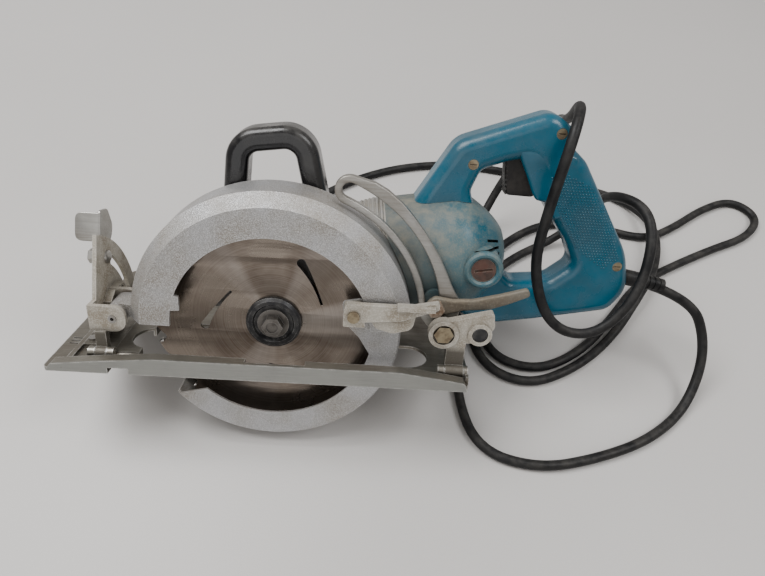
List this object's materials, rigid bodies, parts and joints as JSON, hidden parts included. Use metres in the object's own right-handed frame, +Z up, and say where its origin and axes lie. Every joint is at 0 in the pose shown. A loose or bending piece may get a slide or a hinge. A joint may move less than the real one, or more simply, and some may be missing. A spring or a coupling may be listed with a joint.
{
  "type": "circular saw",
  "caption": "Corded circular saw with swinging lower guard, tilting base, depth link, D-shaped rear grip and arched front handle, set down leaning on guard and base.",
  "frame": {"origin": "centre of the saw's bounding box at the height of the surface it stands on, the cord left out", "axes": "+X from the front of the base to the rear grip, +Y from the blade side to the motor side, +Z up from the surface; the saw leans 27.8 degrees about X"},
  "size_m": [0.6794, 0.3715, 0.2177],
  "materials": {
    "cast_alloy": "sand cast, worn",
    "gear_case": "cast, dusty",
    "plated_steel": "zinc plated, scuffed",
    "steel": "ground",
    "dark_steel": "blackened",
    "blade_steel": "brushed, tarnished",
    "rusty_steel": "rusted",
    "teal_plastic": "moulded, dusty",
    "black_plastic": "moulded",
    "dark_plastic": "moulded",
    "rubber": "matte",
    "brass": "plain",
    "copper": "enamelled wire",
    "carbon": "pressed carbon",
    "laminations": "stacked"
  },
  "bodies": {
    "saw_body": {"brush_caps": "dark_plastic", "brush_holders": "brass", "carbon_brushes": "carbon", "cord_guard": "rubber", "depth_lock_bolt": "steel", "depth_lock_nut": "rusty_steel", "field_coils": "copper", "front_handle": "black_plastic", "front_handle_studs": "steel", "front_motor_bearing": "steel", "gear_cover": "gear_case", "gear_cover_screws": "brass", "gear_housing": "gear_case", "guard_retaining_ring": "plated_steel", "guard_screws": "brass", "guard_spring": "steel", "handle_left": "teal_plastic", "handle_right": "teal_plastic", "handle_screws": "brass", "motor_housing": "teal_plastic", "pinion_bearing": "steel", "plug": "rubber", "plug_pins": "brass", "power_cord": "rubber", "rear_motor_bearing": "steel", "spindle_bearing": "steel", "spindle_end_bearing": "steel", "stator": "laminations", "switch_body": "dark_plastic", "upper_guard": "cast_alloy"},
    "blade_drive": {"blade": "blade_steel", "blade_bolt": "dark_steel", "outer_flange": "steel", "inner_flange": "steel", "spindle": "steel", "ring_gear": "steel"},
    "armature": {"armature_shaft": "steel", "armature_core": "laminations", "commutator": "copper", "cooling_fan": "dark_plastic", "pinion": "steel"},
    "lower_guard": {"lower_guard": "cast_alloy", "guard_lever": "cast_alloy", "guard_lever_screw": "brass"},
    "depth_frame": {"front_bracket": "plated_steel", "front_pivot_pin": "steel", "rear_bracket": "cast_alloy", "link_pivot_bolt": "brass"},
    "depth_link": {"depth_link": "plated_steel"},
    "base": {"base_plate": "plated_steel", "front_upright": "plated_steel", "base_rivets": "steel", "bevel_bolt": "steel", "bevel_nut": "steel", "bevel_hinge_pins": "steel"},
    "bevel_lever": {"bevel_lever": "plated_steel"},
    "depth_lever": {"depth_lock_lever": "rusty_steel"},
    "trigger": {"trigger": "dark_plastic"},
    "lock_button": {"lock_button": "dark_plastic"}
  },
  "joints": [
    {"name": "blade_spin", "type": "hinge", "parent": "saw_body", "child": "blade_drive", "pos_m": [-0.0619, -0.03982, 0.09241], "axis": [0, 0.8849, -0.4657], "continuous": true},
    {"name": "armature_spin", "type": "hinge", "parent": "saw_body", "child": "armature", "pos_m": [-0.06537, 0.02067, 0.08283], "axis": [0.9848, 0.0809, 0.1537], "continuous": true},
    {"name": "lower_guard_swing", "type": "hinge", "parent": "saw_body", "child": "lower_guard", "pos_m": [-0.0619, -0.03982, 0.09241], "axis": [0, -0.8849, 0.4657], "range_deg": [0, 116], "stiffness_Nm_per_rad": 0.12, "springref_deg": -51.57},
    {"name": "depth_adjust", "type": "hinge", "parent": "saw_body", "child": "depth_frame", "pos_m": [-0.1779, -0.03843, 0.09507], "axis": [0, 0.8849, -0.4657], "range_deg": [0, 26]},
    {"name": "depth_link_turn", "type": "hinge", "parent": "depth_frame", "child": "depth_link", "pos_m": [0.0666, -0.03305, 0.09563], "axis": [0, 0.8849, -0.4657], "range_deg": [0, 18.2]},
    {"name": "bevel_adjust", "type": "hinge", "parent": "depth_frame", "child": "base", "pos_m": [-0.0619, -0.0687, 0.08049], "axis": [-1, 0, 0], "range_deg": [0, 45]},
    {"name": "bevel_lever_turn", "type": "hinge", "parent": "base", "child": "bevel_lever", "pos_m": [-0.1999, -0.00483, 0.1148], "axis": [-1, 0, 0], "range_deg": [0, 40]},
    {"name": "depth_lever_turn", "type": "hinge", "parent": "saw_body", "child": "depth_lever", "pos_m": [0.06002, -0.03001, 0.11106], "axis": [0, -0.8849, 0.4657], "range_deg": [0, 60]},
    {"name": "trigger_pull", "type": "slide", "parent": "saw_body", "child": "trigger", "axis": [0.8329, 0.2577, 0.4897], "range_m": [0, 0.006], "stiffness_N_per_m": 900, "springref_m": -0.004},
    {"name": "shaft_lock_press", "type": "slide", "parent": "saw_body", "child": "lock_button", "axis": [0.1736, -0.4587, -0.8715], "range_m": [0, 0.004], "stiffness_N_per_m": 600, "springref_m": -0.002}
  ],
  "couplings": [
    {"joint": "armature_spin", "follows": "blade_spin", "ratio": -5.3333},
    {"joint": "depth_link_turn", "follows": "depth_adjust", "ratio": 0.687}
  ]
}
